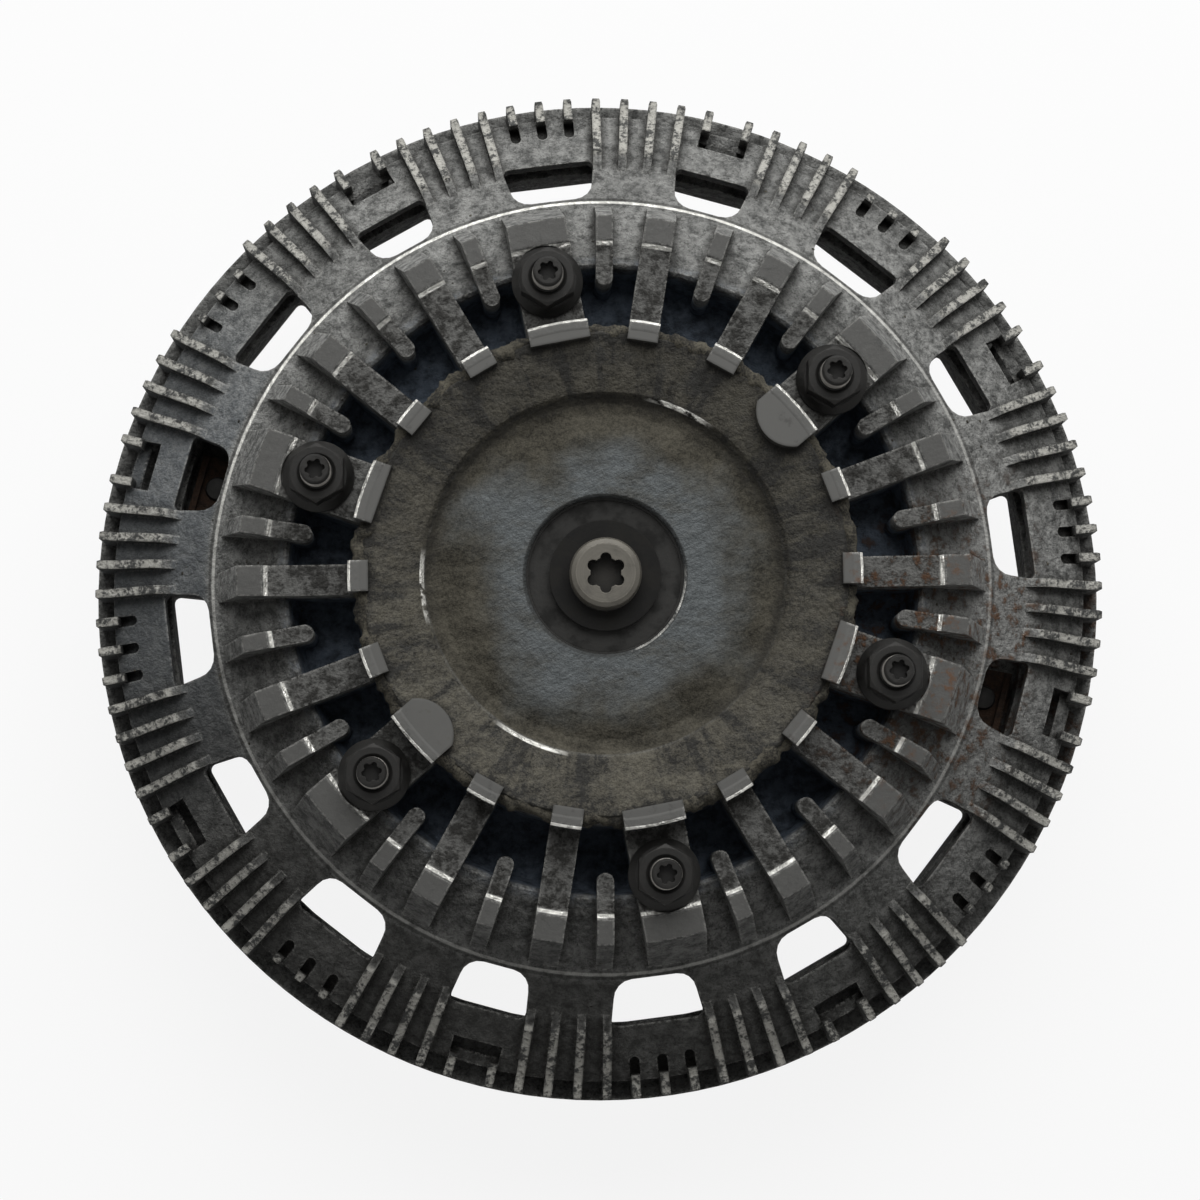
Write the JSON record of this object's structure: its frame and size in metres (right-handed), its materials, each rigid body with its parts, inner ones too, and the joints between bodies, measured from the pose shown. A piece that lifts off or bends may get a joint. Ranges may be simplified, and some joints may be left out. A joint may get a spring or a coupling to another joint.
{
  "type": "viscous fan clutch",
  "caption": "Finned cast viscous fan clutch with a dished cover, fan studs and nuts, a slotted cooling rim and a rear electromagnet that works the fluid valve.",
  "frame": {"origin": "centre of the shaft flange's rear face, at the bottom of the part", "axes": "+Z along the axis of rotation towards the fan side, +Y towards the top of the picture"},
  "size_m": [0.262, 0.262, 0.1025],
  "materials": {
    "cover_casting": "used casting, grey, dirty in the pockets, bright on worn edges",
    "body_casting": "rough used casting, dark",
    "shaft_steel": "turned, lightly oxidised",
    "rotor_alloy": "turned",
    "screw_steel": "dull plated",
    "washer_steel": "brown with dirt",
    "bearing_steel": "ground",
    "cage_steel": "pressed sheet",
    "shield_steel": "dirty sheet",
    "spring_steel": "dark",
    "seal_rubber": "matt black",
    "carrier_steel": "dark, dusty",
    "coil_copper": "varnished winding",
    "fastener_steel": "dark, dull",
    "plate_steel": "stamped sheet",
    "weight_steel": "rusty"
  },
  "bodies": {
    "drive": {"drive_shaft": "shaft_steel", "rotor_disc": "rotor_alloy", "centre_washer": "washer_steel", "centre_screw": "screw_steel", "front_bearing_inner": "bearing_steel", "rear_bearing_inner": "bearing_steel", "coil_bearing_inner": "bearing_steel"},
    "housing": {"front_cover": "cover_casting", "rear_body": "body_casting", "cover_seal": "seal_rubber", "cover_screws": "fastener_steel", "fan_studs": "fastener_steel", "fan_nuts": "fastener_steel", "front_bearing_outer": "bearing_steel", "front_bearing_shield": "shield_steel", "front_circlip": "spring_steel", "rear_bearing_outer": "bearing_steel", "shaft_seal": "seal_rubber", "pump_plate": "plate_steel", "valve_pin": "plate_steel", "valve_spring": "spring_steel", "balance_weights": "weight_steel", "weight_rivets": "fastener_steel"},
    "front_cage": {"front_bearing_balls": "bearing_steel", "front_bearing_cage": "cage_steel"},
    "rear_cage": {"rear_bearing_balls": "bearing_steel", "rear_bearing_cage": "cage_steel"},
    "coil": {"coil_carrier": "carrier_steel", "coil_winding": "coil_copper", "coil_bearing_outer": "bearing_steel"},
    "coil_cage": {"coil_bearing_balls": "bearing_steel", "coil_bearing_cage": "cage_steel"},
    "valve": {"valve_lever": "plate_steel", "armature": "shaft_steel"}
  },
  "joints": [
    {"name": "housing_spin", "type": "hinge", "parent": "drive", "child": "housing", "pos_m": [0, 0, 0.06], "axis": [0, 0, 1], "continuous": true},
    {"name": "front_cage_spin", "type": "hinge", "parent": "drive", "child": "front_cage", "pos_m": [0, 0, 0.0805], "axis": [0, 0, 1], "continuous": true},
    {"name": "rear_cage_spin", "type": "hinge", "parent": "drive", "child": "rear_cage", "pos_m": [0, 0, 0.043], "axis": [0, 0, 1], "continuous": true},
    {"name": "coil_spin", "type": "hinge", "parent": "drive", "child": "coil", "pos_m": [0, 0, 0.0185], "axis": [0, 0, 1], "continuous": true},
    {"name": "coil_cage_spin", "type": "hinge", "parent": "drive", "child": "coil_cage", "pos_m": [0, 0, 0.0185], "axis": [0, 0, 1], "continuous": true},
    {"name": "valve_swing", "type": "hinge", "parent": "housing", "child": "valve", "pos_m": [0, 0.05, 0.0468], "axis": [1, 0, 0], "range_deg": [-5, 0]}
  ],
  "couplings": [
    {"joint": "front_cage_spin", "follows": "housing_spin", "ratio": 0.65},
    {"joint": "rear_cage_spin", "follows": "housing_spin", "ratio": 0.5944},
    {"joint": "coil_cage_spin", "follows": "coil_spin", "ratio": 0.5894}
  ]
}
